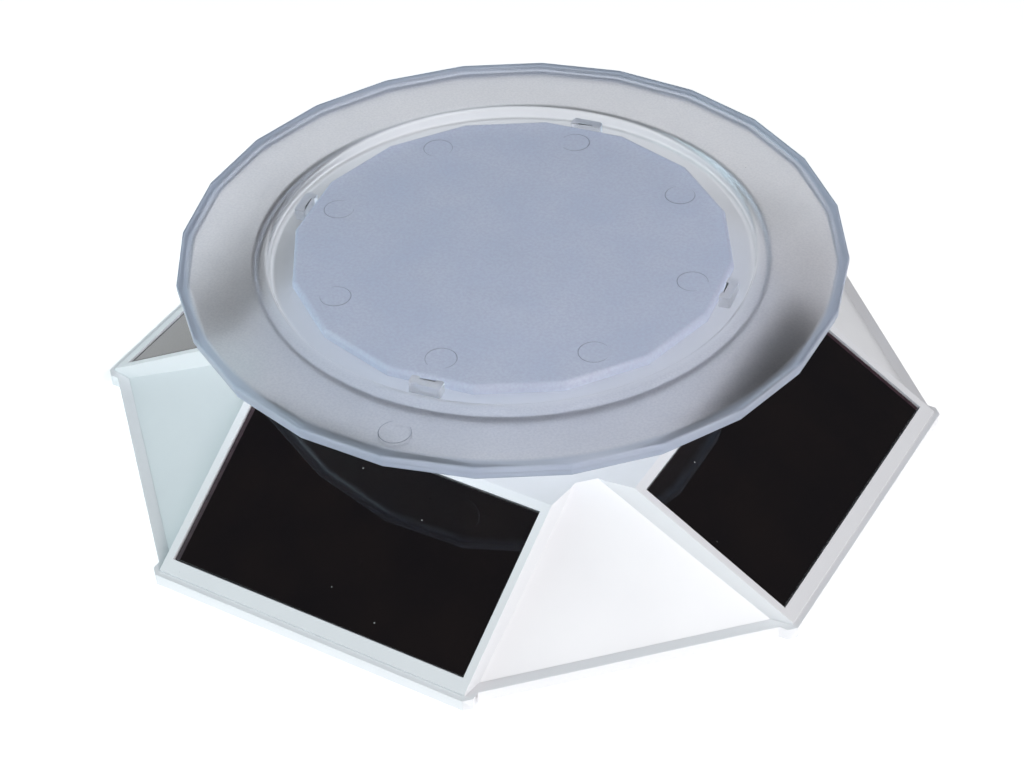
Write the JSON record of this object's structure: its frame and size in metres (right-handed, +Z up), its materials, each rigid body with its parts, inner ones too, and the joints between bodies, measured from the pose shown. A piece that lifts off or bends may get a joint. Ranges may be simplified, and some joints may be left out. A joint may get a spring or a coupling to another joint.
{
  "type": "turntable display stand",
  "caption": "Low solar and battery powered display stand: a frosted many-sided turntable above a white base with sloping solar panels.",
  "frame": {"origin": "under the middle of the base, at the level that its rubber feet stand on", "axes": "+Z up along the spindle, +X and +Y along two neighbouring panel arms"},
  "size_m": [0.1324, 0.1324, 0.0348],
  "materials": {
    "white_plastic": "glossy injection-moulded plastic",
    "frosted_plastic": "frosted translucent moulding with a satin top",
    "insert_plastic": "satin pale lavender sheet",
    "solar_glass": "polished near-black panel face",
    "rubber": "matte",
    "steel": "zinc-plated or ground",
    "brass": "turned",
    "nylon": "natural moulded nylon",
    "black_plastic": "satin black moulding",
    "cell_sleeve": "plain shrink sleeve",
    "circuit_board": "solder-masked board",
    "lead_sleeve": "soft insulation"
  },
  "bodies": {
    "base": {"base_cover": "white_plastic", "base_plate": "white_plastic", "rubber_foot_1": "rubber", "rubber_foot_2": "rubber", "rubber_foot_3": "rubber", "rubber_foot_4": "rubber", "base_screw_1": "steel", "base_screw_2": "steel", "base_screw_3": "steel", "base_screw_4": "steel", "solar_panel_1": "solar_glass", "solar_panel_2": "solar_glass", "solar_panel_3": "solar_glass", "solar_panel_4": "solar_glass", "battery_cell": "cell_sleeve", "contact_spring": "steel", "contact_plate": "steel", "switch_body": "black_plastic", "wiring_board": "circuit_board", "blocking_diode": "black_plastic", "panel_lead_1": "lead_sleeve", "panel_lead_2": "lead_sleeve", "panel_lead_3": "lead_sleeve", "panel_lead_4": "lead_sleeve", "battery_lead_1": "lead_sleeve", "battery_lead_2": "lead_sleeve", "switch_lead": "lead_sleeve", "motor_lead": "lead_sleeve", "motor_can": "steel", "motor_end_cap": "black_plastic", "wheel_pin": "steel", "gear_bridge": "nylon", "bridge_screw_1": "steel", "bridge_screw_2": "steel", "spindle_bush": "brass", "thrust_washer": "nylon"},
    "turntable": {"spindle": "steel", "output_gear": "nylon", "turntable_hub": "white_plastic", "turntable_disk": "frosted_plastic", "insert_plate": "insert_plastic", "hub_screw": "steel"},
    "wheel": {"worm_wheel": "nylon"},
    "rotor": {"motor_shaft": "steel", "worm": "nylon"},
    "switch": {"switch_slider": "black_plastic"},
    "door": {"battery_door": "white_plastic"}
  },
  "joints": [
    {"name": "turntable_spin", "type": "hinge", "parent": "base", "child": "turntable", "pos_m": [0, 0, 0.0308], "axis": [0, 0, 1], "continuous": true},
    {"name": "worm_wheel_spin", "type": "hinge", "parent": "base", "child": "wheel", "pos_m": [-0.01237, 0.01237, 0.0083], "axis": [0, 0, 1], "continuous": true},
    {"name": "motor_spin", "type": "hinge", "parent": "base", "child": "rotor", "pos_m": [0, 0.02237, 0.0083], "axis": [1, 0, 0], "continuous": true},
    {"name": "switch_slide", "type": "slide", "parent": "base", "child": "switch", "axis": [0, 1, 0], "range_m": [0, 0.003]},
    {"name": "battery_door_hinge", "type": "hinge", "parent": "base", "child": "door", "pos_m": [0.0263, -0.024, 0.0008], "axis": [0, -1, 0], "range_deg": [0, 100]}
  ],
  "couplings": [
    {"joint": "worm_wheel_spin", "follows": "turntable_spin", "ratio": -6},
    {"joint": "motor_spin", "follows": "turntable_spin", "ratio": -180}
  ]
}
